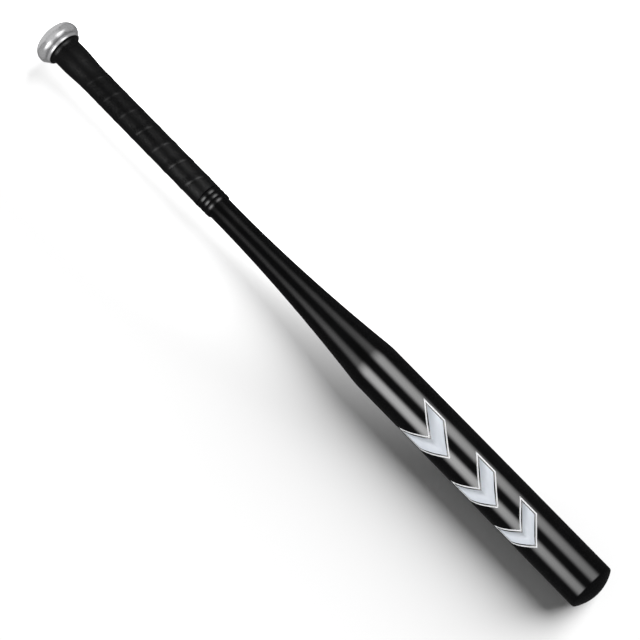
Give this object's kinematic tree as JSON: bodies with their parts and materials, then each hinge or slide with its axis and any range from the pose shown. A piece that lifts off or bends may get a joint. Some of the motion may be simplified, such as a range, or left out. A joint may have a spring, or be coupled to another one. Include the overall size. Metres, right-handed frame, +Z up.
{
  "type": "baseball bat",
  "caption": "Hollow aluminium baseball bat with a domed closed barrel end, polished knob, spiral-wound grip and printed chevrons on the barrel.",
  "frame": {"origin": "centre of the knob's flat end face, on the bat's axis", "axes": "+X along the bat's axis from the knob to the barrel end, +Z up, with the prints on the upper side and centred 23.5 degrees from it towards -Y"},
  "size_m": [0.864, 0.0556, 0.0561],
  "materials": {
    "shell_paint": "gloss",
    "knob_metal": "polished",
    "weld_metal": "satin",
    "vent_plug_plastic": "satin",
    "damping_foam": "matte",
    "backing_tape": "matte",
    "grip_wrap": "satin",
    "finishing_tape": "satin",
    "barrel_print": "satin"
  },
  "bodies": {
    "root": {"bat_shell": "shell_paint", "tip_plug": "shell_paint", "damping_plug": "damping_foam", "knob": "knob_metal", "knob_vent_plug": "vent_plug_plastic", "knob_weld_bead": "weld_metal", "grip_backing_tape": "backing_tape", "grip_wrap": "grip_wrap", "grip_finishing_tape": "finishing_tape", "graphic_handle_side": "barrel_print", "graphic_middle": "barrel_print", "graphic_tip_side": "barrel_print"}
  },
  "joints": []
}
